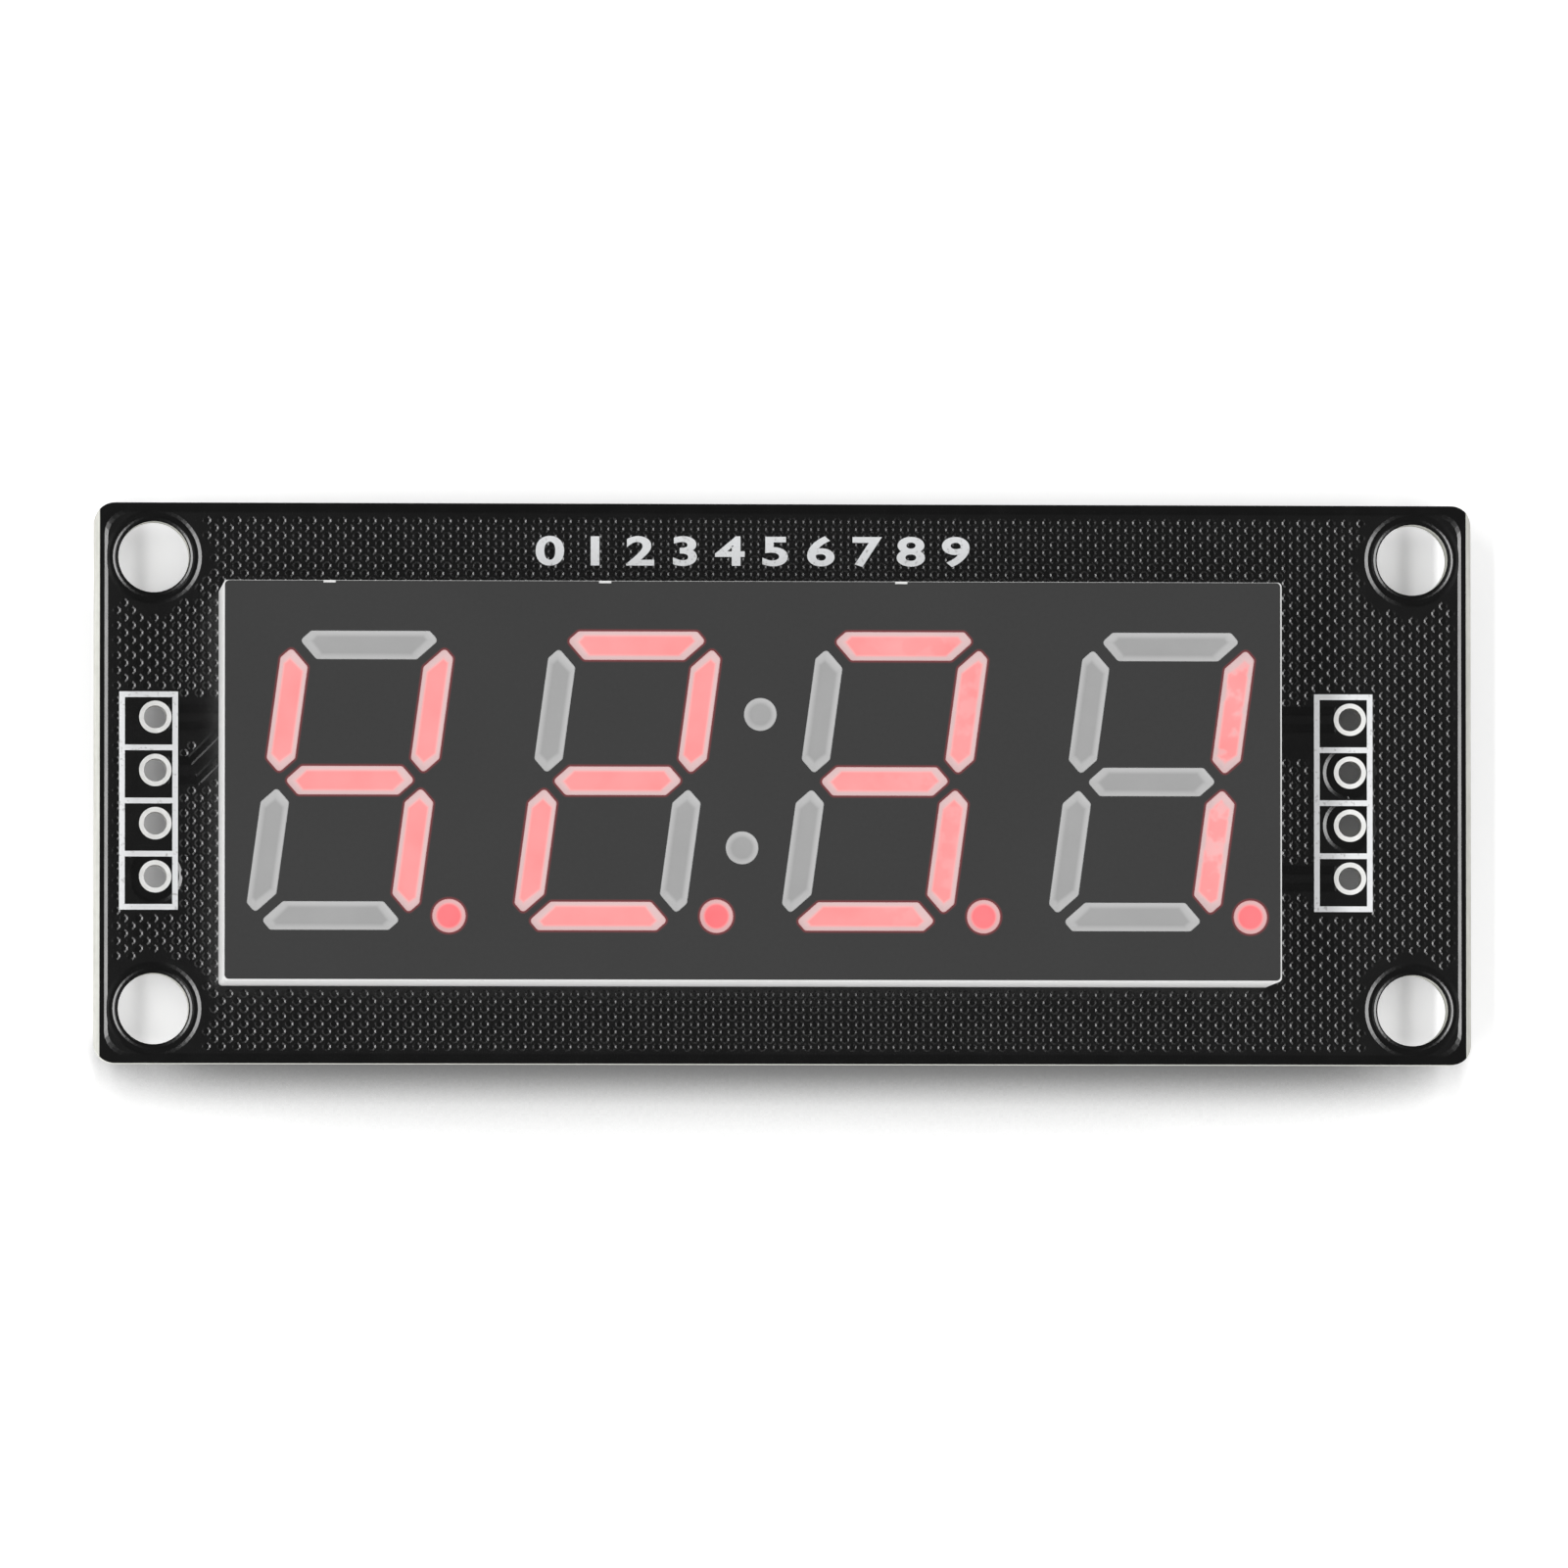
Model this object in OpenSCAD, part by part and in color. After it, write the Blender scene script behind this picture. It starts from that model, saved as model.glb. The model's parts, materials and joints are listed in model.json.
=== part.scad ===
// Four-digit seven segment display module, lying on the flat face of its driver chip.
// X runs along the digits, Y runs up the digits, Z points out of the display face.
// The origin is under the middle of the board, on the surface that the module lies on.

/* [Circuit board] */
// Board left of the display
board_left = 5.95; // [4.8:0.05:10]
// Board right of the display
board_right = 9.75; // [8:0.05:16]
// Board above the display
board_above = 4.1; // [3:0.1:10]
// Board below the display
board_below = 3.7; // [3:0.1:10]
// Thickness of the board
board_t = 1.6; // [1.2:0.1:2.4]
// Radius of the board's corners
board_corner_r = 1; // [0.5:0.1:1.6]
// How far the scored bevel reaches in from each short edge
score_in = 0.27; // [0.12:0.01:0.4]
// Depth of the scored bevel on each face of the board
score_depth = 0.45; // [0.2:0.05:0.5]

/* [Screw holes] */
// Diameter of the four screw holes
screw_hole_d = 3.4; // [2.6:0.1:3.8]
// Distance from a short edge to the middle of a screw hole
screw_hole_in_x = 2.85; // [2.4:0.05:3.5]
// Distance from a long edge to the middle of a screw hole
screw_hole_in_y = 2.6; // [2.2:0.05:3.5]

/* [Header holes] */
// Number of header holes in each column
header_count = 4; // [2:1:5]
// Distance between neighbouring header holes
header_pitch = 2.54; // [2.2:0.01:2.8]
// Bore of a header hole
header_bore_d = 1.1; // [0.8:0.05:1.2]
// Diameter of the tinned ring round a header hole
header_ring_d = 1.55; // [1.3:0.05:1.75]
// Distance from the left edge to the left column
left_header_in = 2.93; // [2.2:0.01:3.6]
// Distance from the right edge to the right column
right_header_in = 5.85; // [4.4:0.01:6.2]
// How far both columns sit above the middle of the board
header_up = -0.67; // [-1.2:0.01:1.2]

/* [Plating and print] */
// Wall of the plating inside a display pin's hole
plating_t = 0.05; // [0.03:0.01:0.08]
// Height of the tinned copper over the board
copper_t = 0.04; // [0.03:0.01:0.08]
// Height of the white print over the board
print_t = 0.03; // [0.02:0.01:0.06]
// Width of a printed line
print_line_w = 0.27; // [0.15:0.01:0.35]
// Bare stretch between a printed line on the back and the pad beside it
print_clear = 0.2; // [0.1:0.02:0.24]
// Diameter of the printed dot beside the chip's first lead
first_mark_d = 0.6; // [0.4:0.05:0.9]
// How far the front print has slipped along the board
print_slip_x = -0.32; // [-0.4:0.01:0.4]
// How far the front print has slipped across the board
print_slip_y = -0.19; // [-0.3:0.01:0.3]

/* [Display housing] */
// Height of the display over the board, with its dark face
display_h = 8; // [6:0.1:10]
// Face left beside the outer digits, level with their middles
face_beside = 2; // [1.7:0.1:6]
// Face left above and below the digits
face_above = 2.4; // [1.6:0.1:6]
// Radius of the upright edges of the housing
housing_edge_r = 0.2; // [0.1:0.05:0.6]
// Wall of the housing round its light board
housing_wall = 0.9; // [0.6:0.05:1.2]
// Thickness of the dark face
face_t = 0.06; // [0.04:0.01:0.15]
// White border left beside and below the dark face
face_border = 0.07; // [0.03:0.01:0.2]
// White border left above the dark face
face_border_above = 0.02; // [0.02:0.01:0.2]
// Length of a notch in the upper edge of the face
face_notch_l = 0.6; // [0.3:0.05:1]
// How far a notch reaches below the upper edge of the housing
face_notch_in = 0.12; // [0.1:0.02:0.4]

/* [Digits] */
// Distance from one digit to the next
digit_pitch = 12.7; // [10.8:0.1:16]
// How far the row of digits sits right of the middle of the display
digits_x = -0.1; // [-0.2:0.05:0.2]
// Height of a digit
digit_h = 14.2; // [12:0.1:20]
// Width of a digit, measured level
digit_w = 8.2; // [6.6:0.1:9.8]
// Lean of the digits to the right, in degrees
slant = 7.8; // [0:0.2:10]
// Width of a segment, measured level or upright
segment_w = 1.36; // [1:0.02:1.6]
// Gap between two neighbouring segments
segment_gap = 0.5; // [0.35:0.05:0.7]
// Length of the bevel across each outer corner of a digit
corner_bevel = 1.28; // [1:0.02:1.7]
// Radius of the corners of a segment
segment_corner_r = 0.18; // [0.1:0.02:0.22]
// Diameter of a decimal point
point_d = 1.6; // [1.2:0.1:1.8]
// Distance from the side of a digit to the middle of its decimal point
point_out = 1.48; // [1.3:0.02:1.6]
// Diameter of a colon dot
colon_d = 1.57; // [1.2:0.01:1.8]
// Upright distance between the two colon dots
colon_spacing = 6.34; // [4:0.02:8]

/* [Light funnels] */
// Length of the floor of a segment's funnel, at the light board
funnel_floor_l = 2.6; // [1.6:0.1:4]
// Width of the floor of a funnel, at the light board
funnel_floor_w = 0.9; // [0.6:0.05:0.96]
// Depth of the straight stretch at the mouth of a funnel
funnel_mouth = 0.8; // [0.3:0.1:1.5]
// Side of a light chip
die_w = 0.3; // [0.2:0.02:0.5]
// Height of a light chip
die_t = 0.16; // [0.1:0.02:0.3]

/* [Light board and pins] */
// Thickness of the light board inside the display
light_board_t = 1; // [0.8:0.1:1.6]
// Depth from the rim of the housing to the light board
light_board_in = 0.4; // [0.2:0.1:0.8]
// Number of pins in each row
pin_count = 6; // [4:1:8]
// Distance between neighbouring pins
pin_pitch = 2.54; // [2.2:0.01:2.8]
// Gap between the tinned rings of the pins and the housing's wall
pin_row_gap = 0.13; // [0.05:0.01:1]
// Diameter of a display pin
pin_d = 0.5; // [0.4:0.02:0.56]
// Length of a display pin past the back of the board
pin_out = 1.3; // [1:0.1:1.6]
// Bore of a display pin's plated hole
pin_hole_d = 0.8; // [0.7:0.05:0.9]
// Diameter of the tinned ring round a display pin's hole
pin_ring_d = 1.7; // [1.5:0.05:1.9]
// Height of a solder joint over its ring
joint_h = 0.85; // [0.5:0.05:0.9]
// Ring left bare round a solder joint, on both sides together
solder_edge = 0.2; // [0.1:0.02:0.3]
// Thickness of the solder where it ends on the pin
solder_film = 0.06; // [0.03:0.01:0.1]

/* [Driver chip] */
// Number of leads on each side of the driver chip
lead_count = 10; // [4:1:12]
// Distance between neighbouring leads
lead_pitch = 1.27; // [1:0.01:1.6]
// Width of a lead
lead_w = 0.42; // [0.3:0.02:0.5]
// Thickness of a lead
lead_t = 0.25; // [0.18:0.01:0.3]
// Length of a lead's foot on its pad
lead_foot = 0.8; // [0.5:0.05:1]
// Length of a lead inside the chip's body
lead_root = 0.4; // [0.2:0.05:0.8]
// Level stretch of a lead beside the chip's body
lead_shoulder = 0.3; // [0.2:0.02:0.4]
// Distance that a lead reaches out from the chip's body
lead_reach = 1.4; // [1.2:0.05:1.7]
// Body of the driver chip left past its outer leads
chip_end = 0.475; // [0.2:0.025:1.5]
// Width of the driver chip's body
chip_w = 7.5; // [6:0.1:9]
// Thickness of the driver chip's body
chip_t = 2.26; // [2:0.02:2.6]
// Gap between the driver chip's body and its pads
chip_gap = 0.2; // [0.1:0.02:0.3]
// Draft of the moulded sides of the chip, in degrees
chip_draft = 8; // [3:1:12]
// Diameter of the round mark moulded beside the first lead
dimple_d = 1; // [0.6:0.1:1.4]
// Depth of that mark
dimple_depth = 0.1; // [0.05:0.01:0.2]
// Distance from the chip's edges to the middle of that mark
dimple_in = 1.3; // [1.2:0.1:2]
// How far the driver chip sits right of the middle of the board
chip_x = -1.2; // [-3:0.1:2]

/* [Small parts] */
// Length of a resistor or capacitor
part_l = 1.6; // [1.4:0.05:2]
// Width of a resistor or capacitor
part_w = 0.8; // [0.6:0.05:1]
// Height of a resistor
resistor_h = 0.45; // [0.3:0.05:0.6]
// Height of a capacitor
capacitor_h = 0.8; // [0.6:0.05:1]
// Distance from one small part to the next
part_pitch = 2.2; // [2:0.1:2.8]
// Distance from the driver chip to the row of small parts
part_from_chip = 3; // [2.4:0.1:5]
// Length of a metal end cap
end_cap_l = 0.3; // [0.2:0.02:0.4]
// Wall of a metal end cap
end_cap_t = 0.04; // [0.02:0.01:0.06]
// How far a solder pad shows round what is soldered to it
pad_margin = 0.2; // [0.1:0.02:0.25]

/* [Hidden] */
// Fine enough to be read as a true circle
$fn = 48;
// Flats that make up the round of a segment's corner
CORNER_STEPS = 3;
// Overshoot of a cut past the face that it opens
cut = 1;

DIGITS = [1, 2, 3, 4];
SEGMENTS = ["a", "b", "c", "d", "e", "f", "g"];
RESISTORS = [1, 2];
CAPACITORS = [1, 2, 3];
// Places of the notches in the face, as parts of its length from the left
FACE_NOTCHES = [0.1, 0.36, 0.64];

function segment_name(d, s) = str("digit_", d, "_segment_", s);
function point_name(d) = str("digit_", d, "_decimal_point");
function resistor_name(n) = str("pull_up_resistor_", n);
function capacitor_name(n) = str("supply_capacitor_", n);

// The display grows from its digits, and the board grows from the display
display_l = (len(DIGITS) - 1) * digit_pitch + digit_w + 2 * face_beside;
display_w = digit_h + 2 * face_above;
board_l = board_left + display_l + board_right;
board_w = board_below + display_w + board_above;
display_x = (board_left - board_right) / 2;
display_y = (board_below - board_above) / 2;
pin_row_spacing = display_w - 2 * (housing_wall + pin_row_gap) - pin_ring_d;
chip_l = (lead_count - 1) * lead_pitch + lead_w + 2 * chip_end;
lead_span = chip_w + 2 * lead_reach;

// Heights of the faces that pieces meet at
board_back = copper_t + chip_gap + chip_t;
board_front = board_back + board_t;
face_back = board_front + display_h - face_t;
light_board_back = board_front + light_board_in;
light_board_front = light_board_back + light_board_t;
funnel_depth = face_back - light_board_front;

// Middles of holes, pins and small parts
screw_hole_x = board_l / 2 - screw_hole_in_x;
screw_hole_y = board_w / 2 - screw_hole_in_y;
left_header_x = -board_l / 2 + left_header_in;
right_header_x = board_l / 2 - right_header_in;
header_ys = row(header_count, header_pitch, header_up);
pin_xs = row(pin_count, pin_pitch, display_x);
upper_pin_y = display_y + pin_row_spacing / 2;
lower_pin_y = display_y - pin_row_spacing / 2;
part_x = chip_x + (chip_l + part_l) / 2 + part_from_chip;
part_spots = [for (y = row(len(RESISTORS) + len(CAPACITORS), part_pitch, display_y)) [part_x, y]];
function resistor_spot(n) = part_spots[n - 1];
function capacitor_spot(n) = part_spots[len(RESISTORS) + n - 1];

// A digit, measured upright from its own middle before it leans
half_w = segment_w / 2;
side_x = (digit_w - segment_w) / 2;
cap_y = (digit_h - segment_w) / 2;
mitre = segment_gap / sqrt(2);
bevel_rise = segment_w - corner_bevel;
lean = tan(slant);

// Evenly spaced places either side of a middle
function row(count, pitch, middle) = [for (i = [0:count - 1]) middle + (i - (count - 1) / 2) * pitch];

function leaned(p) = [p[0] + p[1] * lean, p[1]];
function digit_x(d) = display_x + digits_x + (d - (len(DIGITS) + 1) / 2) * digit_pitch;

// Outline of the top segment, from its left tip along the bottom and back over the bevelled corners
function cap_outline() = [
    [-side_x + (mitre - bevel_rise) / 2, cap_y + (mitre + bevel_rise) / 2],
    [-side_x + mitre + half_w, cap_y - half_w],
    [side_x - mitre - half_w, cap_y - half_w],
    [side_x - (mitre - bevel_rise) / 2, cap_y + (mitre + bevel_rise) / 2],
    [side_x - half_w + bevel_rise, cap_y + half_w],
    [-side_x + half_w - bevel_rise, cap_y + half_w]
];

// Outline of the upper right segment, from its top tip down its inner side
function side_outline() = [
    [side_x + (mitre + bevel_rise) / 2, cap_y - (mitre - bevel_rise) / 2],
    [side_x - half_w, cap_y - mitre - half_w],
    [side_x - half_w, mitre + half_w],
    [side_x, mitre],
    [side_x + half_w, mitre + half_w],
    [side_x + half_w, cap_y - half_w + bevel_rise]
];

// Outline of the middle segment, from its left tip along the bottom and back
function middle_outline() = [
    [-side_x + mitre, 0],
    [-side_x + mitre + half_w, -half_w],
    [side_x - mitre - half_w, -half_w],
    [side_x - mitre, 0],
    [side_x - mitre - half_w, half_w],
    [-side_x + mitre + half_w, half_w]
];

function backwards(points) = [for (i = [len(points) - 1:-1:0]) points[i]];
// An outline flipped across or up, still listed anticlockwise
function mirrored(points, across, up) =
    let (flipped = [for (p = points) [across * p[0], up * p[1]]])
    across * up < 0 ? backwards(flipped) : flipped;

// Outline of a segment by its letter, still upright
function upright_outline(s) =
    s == "a" ? cap_outline() :
    s == "b" ? side_outline() :
    s == "c" ? mirrored(side_outline(), 1, -1) :
    s == "d" ? mirrored(cap_outline(), 1, -1) :
    s == "e" ? mirrored(side_outline(), -1, -1) :
    s == "f" ? mirrored(side_outline(), -1, 1) :
    middle_outline();

// Middle of a segment by its letter, still upright
function upright_middle(s) =
    s == "a" ? [0, cap_y] :
    s == "b" ? [side_x, cap_y / 2] :
    s == "c" ? [side_x, -cap_y / 2] :
    s == "d" ? [0, -cap_y] :
    s == "e" ? [-side_x, -cap_y / 2] :
    s == "f" ? [-side_x, cap_y / 2] :
    [0, 0];

function is_side(s) = s == "b" || s == "c" || s == "e" || s == "f";
function segment_length(s) = is_side(s) ? cap_y : 2 * side_x;
function segment_spot(d, s) = [digit_x(d), display_y] + leaned(upright_middle(s));
function point_spot(d) = [digit_x(d), display_y] + leaned([digit_w / 2 + point_out, -cap_y]);
function colon_spot(up) = [display_x + digits_x, display_y] + leaned([0, up * colon_spacing / 2]);

LIGHT_SPOTS = [
    for (d = DIGITS, s = SEGMENTS) segment_spot(d, s),
    for (d = DIGITS) point_spot(d),
    colon_spot(1),
    colon_spot(-1)
];

function unit(v) = v / norm(v);
function direction(a) = [cos(a), sin(a)];
// The round of one corner p, between the points before and after it in an anticlockwise outline
function corner_round(before, p, after, r) =
    let (
        u = unit(before - p),
        v = unit(after - p),
        half = acos(u * v) / 2,
        middle = p + unit(u + v) * r / sin(half),
        first = p + u * r / tan(half) - middle,
        start = atan2(first[1], first[0]),
        sweep = 180 - 2 * half
    )
    [for (i = [0:CORNER_STEPS]) middle + r * direction(start + sweep * i / CORNER_STEPS)];
// An anticlockwise outline with every corner rounded
function rounded(points, r) =
    let (count = len(points))
    [
        for (i = [0:count - 1])
            each corner_round(points[(i + count - 1) % count], points[i], points[(i + 1) % count], r)
    ];
// The outline of a segment as it lies in its digit, leaning and rounded
function segment_outline(s) =
    rounded([for (p = upright_outline(s)) leaned(p)], segment_corner_r);

// A block with rounded upright edges, standing on z = 0
module rounded_block(l, w, h, r) {
    linear_extrude(h) union() {
        square([l - 2 * r, w], center = true);
        square([l, w - 2 * r], center = true);
        for (x = [-1, 1], y = [-1, 1]) translate([x * (l / 2 - r), y * (w / 2 - r)]) circle(r);
    }
}

// A ridge that widens from its floor to its mouth, across X and endless along Y
module widening_ridge(floor_size, mouth_size, h, reach) {
    slope = (mouth_size - floor_size) / 2 / (h - funnel_mouth);
    top = floor_size / 2 + slope * h;
    rotate([90, 0, 0])
        linear_extrude(reach, center = true)
            polygon([[-floor_size / 2, 0], [floor_size / 2, 0], [top, h], [-top, h]]);
}

// The inside of a segment's funnel, on the light board
module segment_funnel(d, s) {
    reach = 2 * digit_h;
    spot = segment_spot(d, s);
    turn = is_side(s) ? 90 - slant : 0;
    intersection() {
        translate([digit_x(d), display_y, light_board_front])
            linear_extrude(funnel_depth)
                polygon(segment_outline(s));
        translate([spot[0], spot[1], light_board_front])
            rotate([0, 0, turn])
                widening_ridge(funnel_floor_l, segment_length(s), funnel_depth, reach);
        translate([spot[0], spot[1], light_board_front])
            rotate([0, 0, turn + 90])
                widening_ridge(funnel_floor_w, segment_w, funnel_depth, reach);
    }
}

// The inside of a round light's funnel, on the light board
module dot_funnel(spot, d) {
    taper = funnel_depth - funnel_mouth;
    translate([spot[0], spot[1], light_board_front]) union() {
        cylinder(h = taper, d1 = funnel_floor_w, d2 = d);
        translate([0, 0, taper]) cylinder(h = funnel_mouth, d = d);
    }
}

module light_chip(spot) {
    translate([spot[0], spot[1], light_board_front + die_t / 2])
        cube([die_w, die_w, die_t], center = true);
}

// The tinned rings round a hole, on both faces of the board
module face_rings(ring_d) {
    translate([0, 0, board_back - copper_t]) cylinder(h = copper_t, d = ring_d);
    translate([0, 0, board_front]) cylinder(h = copper_t, d = ring_d);
}

module ringed_hole(bore_d, ring_d) {
    difference() {
        face_rings(ring_d);
        translate([0, 0, board_back - cut]) cylinder(h = board_t + 2 * cut, d = bore_d);
    }
}

// A display pin's hole also has plating down its wall
module plated_hole(bore_d, ring_d) {
    difference() {
        union() {
            face_rings(ring_d);
            translate([0, 0, board_back]) cylinder(h = board_t, d = bore_d + 2 * plating_t);
        }
        translate([0, 0, board_back - cut]) cylinder(h = board_t + 2 * cut, d = bore_d);
    }
}

module board_hole(x, y, d) {
    translate([x, y, board_back - cut]) cylinder(h = board_t + 2 * cut, d = d);
}

// The bevel that scoring leaves along a short edge, on one face of the board
module score_bevel(edge_x, side, face_z, up) {
    translate([edge_x, 0, face_z])
        rotate([90, 0, 0])
            linear_extrude(board_w + 2 * cut, center = true)
                polygon([
                    [side * cut, up * cut],
                    [side * cut, -up * score_depth],
                    [0, -up * score_depth],
                    [-side * score_in, 0],
                    [-side * score_in, up * cut]
                ]);
}

module circuit_board() {
    color([0.11, 0.11, 0.12]) difference() {
        translate([0, 0, board_back]) rounded_block(board_l, board_w, board_t, board_corner_r);
        for (x = [-1, 1], y = [-1, 1]) board_hole(x * screw_hole_x, y * screw_hole_y, screw_hole_d);
        for (x = [left_header_x, right_header_x], y = header_ys)
            board_hole(x, y, header_bore_d);
        for (x = pin_xs, y = [upper_pin_y, lower_pin_y]) board_hole(x, y, pin_hole_d + 2 * plating_t);
        for (side = [-1, 1]) {
            score_bevel(side * board_l / 2, side, board_front, 1);
            score_bevel(side * board_l / 2, side, board_back, -1);
        }
    }
}

module header_pads(x) {
    color([0.8, 0.81, 0.8])
        for (y = header_ys) translate([x, y, 0]) ringed_hole(header_bore_d, header_ring_d);
}

module display_pin_pads() {
    color([0.8, 0.81, 0.8])
        for (x = pin_xs, y = [upper_pin_y, lower_pin_y])
            translate([x, y, 0]) plated_hole(pin_hole_d, pin_ring_d);
}

// A flat tinned pad on the back of the board
module back_pad(x, y, l, w) {
    translate([x, y, board_back - copper_t / 2]) cube([l, w, copper_t], center = true);
}

module component_pads() {
    foot_y = (lead_span - lead_foot) / 2;
    cap_x = (part_l - end_cap_l) / 2;
    color([0.8, 0.81, 0.8]) {
        for (x = row(lead_count, lead_pitch, chip_x), side = [-1, 1])
            back_pad(x, display_y + side * foot_y, lead_w + pad_margin, lead_foot + 2 * pad_margin);
        for (p = part_spots, side = [-1, 1])
            back_pad(p[0] + side * cap_x, p[1], end_cap_l + 2 * pad_margin, part_w + pad_margin);
    }
}

// A printed frame, drawn along the middle of its line
module printed_frame(l, w) {
    difference() {
        square([l + print_line_w, w + print_line_w], center = true);
        square([l - print_line_w, w - print_line_w], center = true);
    }
}

// The row of printed cells round a header column
module header_cells(x) {
    translate([x + print_slip_x, print_slip_y, board_front]) linear_extrude(print_t) difference() {
        translate([0, header_up])
            square([header_pitch + print_line_w, header_count * header_pitch + print_line_w], center = true);
        for (y = header_ys)
            translate([0, y]) square(header_pitch - print_line_w, center = true);
    }
}

module front_print() {
    color("white") {
        header_cells(left_header_x);
        header_cells(right_header_x);
    }
}

module back_print() {
    beside = print_line_w + pad_margin + 2 * print_clear;
    color("white") translate([0, 0, board_back - print_t]) linear_extrude(print_t) {
        for (p = part_spots)
            translate(p) printed_frame(part_l + beside + pad_margin, part_w + beside);
        translate([chip_x - chip_l / 2 - first_mark_d, display_y + (lead_span - lead_foot) / 2])
            circle(d = first_mark_d);
    }
}

module housing_recess() {
    translate([display_x, display_y, board_front - cut])
        rounded_block(
            display_l - 2 * housing_wall,
            display_w - 2 * housing_wall,
            light_board_front - board_front + cut,
            housing_edge_r
        );
}

module display_housing() {
    color([0.93, 0.93, 0.93]) difference() {
        translate([display_x, display_y, board_front])
            rounded_block(display_l, display_w, face_back - board_front, housing_edge_r);
        housing_recess();
        for (d = DIGITS, s = SEGMENTS) segment_funnel(d, s);
        for (d = DIGITS) dot_funnel(point_spot(d), point_d);
        for (up = [-1, 1]) dot_funnel(colon_spot(up), colon_d);
    }
}

module display_face() {
    color([0.25, 0.25, 0.25]) translate([0, 0, face_back]) difference() {
        translate([display_x, display_y + (face_border - face_border_above) / 2, 0])
            rounded_block(
                display_l - 2 * face_border,
                display_w - face_border - face_border_above,
                face_t,
                housing_edge_r
            );
        for (along = FACE_NOTCHES)
            translate([
                display_x + (along - 0.5) * display_l - face_notch_l / 2,
                display_y + display_w / 2 - face_notch_in,
                -cut
            ])
                cube([face_notch_l, face_notch_in, face_t + 2 * cut]);
        for (d = DIGITS, s = SEGMENTS)
            translate([digit_x(d), display_y, -cut])
                linear_extrude(face_t + 2 * cut) polygon(segment_outline(s));
        for (d = DIGITS)
            translate([point_spot(d)[0], point_spot(d)[1], -cut]) cylinder(h = face_t + 2 * cut, d = point_d);
        for (up = [-1, 1])
            translate([colon_spot(up)[0], colon_spot(up)[1], -cut])
                cylinder(h = face_t + 2 * cut, d = colon_d);
    }
}

module light_segment(d, s) {
    color([0.75, 0.7, 0.7]) difference() {
        segment_funnel(d, s);
        light_chip(segment_spot(d, s));
    }
}

module decimal_point(d) {
    color([0.75, 0.7, 0.7]) difference() {
        dot_funnel(point_spot(d), point_d);
        light_chip(point_spot(d));
    }
}

module colon_dot(up) {
    color([0.75, 0.7, 0.7]) difference() {
        dot_funnel(colon_spot(up), colon_d);
        light_chip(colon_spot(up));
    }
}

module light_board() {
    color([0.9, 0.88, 0.8]) difference() {
        translate([display_x, display_y, light_board_back])
            rounded_block(
                display_l - 2 * housing_wall,
                display_w - 2 * housing_wall,
                light_board_t,
                housing_edge_r
            );
        for (x = pin_xs, y = [upper_pin_y, lower_pin_y])
            translate([x, y, light_board_back - cut]) cylinder(h = light_board_t + 2 * cut, d = pin_d);
    }
}

module light_chips() {
    color([0.85, 0.3, 0.25]) for (spot = LIGHT_SPOTS) light_chip(spot);
}

module display_pins(y) {
    color([0.78, 0.78, 0.76])
        for (x = pin_xs)
            translate([x, y, board_back - pin_out])
                cylinder(h = light_board_front - board_back + pin_out, d = pin_d);
}

// Solder that climbs from its ring to the pin in a hollow curve, standing on z = 0
module solder_cone() {
    foot_r = (pin_ring_d - solder_edge) / 2;
    tip_r = pin_d / 2 + solder_film;
    arc_x = (pow(joint_h, 2) + pow(foot_r, 2) - pow(tip_r, 2)) / 2 / (foot_r - tip_r);
    rotate_extrude() difference() {
        square([foot_r, joint_h]);
        translate([arc_x, joint_h]) circle(arc_x - tip_r);
    }
}

// A solder joint that fills its plated hole and stands on the ring behind the board
module solder_joint() {
    ring_face = board_back - copper_t;
    difference() {
        union() {
            translate([0, 0, ring_face]) cylinder(h = board_t + 2 * copper_t, d = pin_hole_d);
            translate([0, 0, ring_face]) mirror([0, 0, 1]) solder_cone();
        }
        translate([0, 0, board_back - pin_out - cut])
            cylinder(h = pin_out + board_t + 2 * cut, d = pin_d);
    }
}

module display_pin_solder() {
    color([0.72, 0.73, 0.72])
        for (x = pin_xs, y = [upper_pin_y, lower_pin_y]) translate([x, y, 0]) solder_joint();
}

// A moulded block whose sides draw in from the parting line at mid height, standing on z = 0
module moulded_block(l, w, h, draft) {
    draw = h / 2 * tan(draft);
    intersection() {
        rotate([90, 0, 0])
            linear_extrude(w + 2 * cut, center = true)
                polygon([
                    [-l / 2 + draw, 0], [l / 2 - draw, 0], [l / 2, h / 2],
                    [l / 2 - draw, h], [-l / 2 + draw, h], [-l / 2, h / 2]
                ]);
        rotate([90, 0, 90])
            linear_extrude(l + 2 * cut, center = true)
                polygon([
                    [-w / 2 + draw, 0], [w / 2 - draw, 0], [w / 2, h / 2],
                    [w / 2 - draw, h], [-w / 2 + draw, h], [-w / 2, h / 2]
                ]);
    }
}

// Side view of a lead, from its root inside the body at y = -lead_root down to its foot on the pad
module lead_profile(drop) {
    bend = lead_t / 2;
    foot_start = lead_reach - lead_foot;
    polygon([
        [-lead_root, drop - bend],
        [lead_shoulder - bend, drop - bend],
        [foot_start - bend, bend],
        [foot_start, 0],
        [lead_reach, 0],
        [lead_reach, lead_t],
        [foot_start + bend, lead_t],
        [lead_shoulder + bend, drop],
        [lead_shoulder, drop + bend],
        [-lead_root, drop + bend]
    ]);
}

// The chip hangs under the board: its own height runs down from the pads
module under_board(x, y) {
    translate([x, y, board_back - copper_t]) rotate([180, 0, 0]) children();
}

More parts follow.
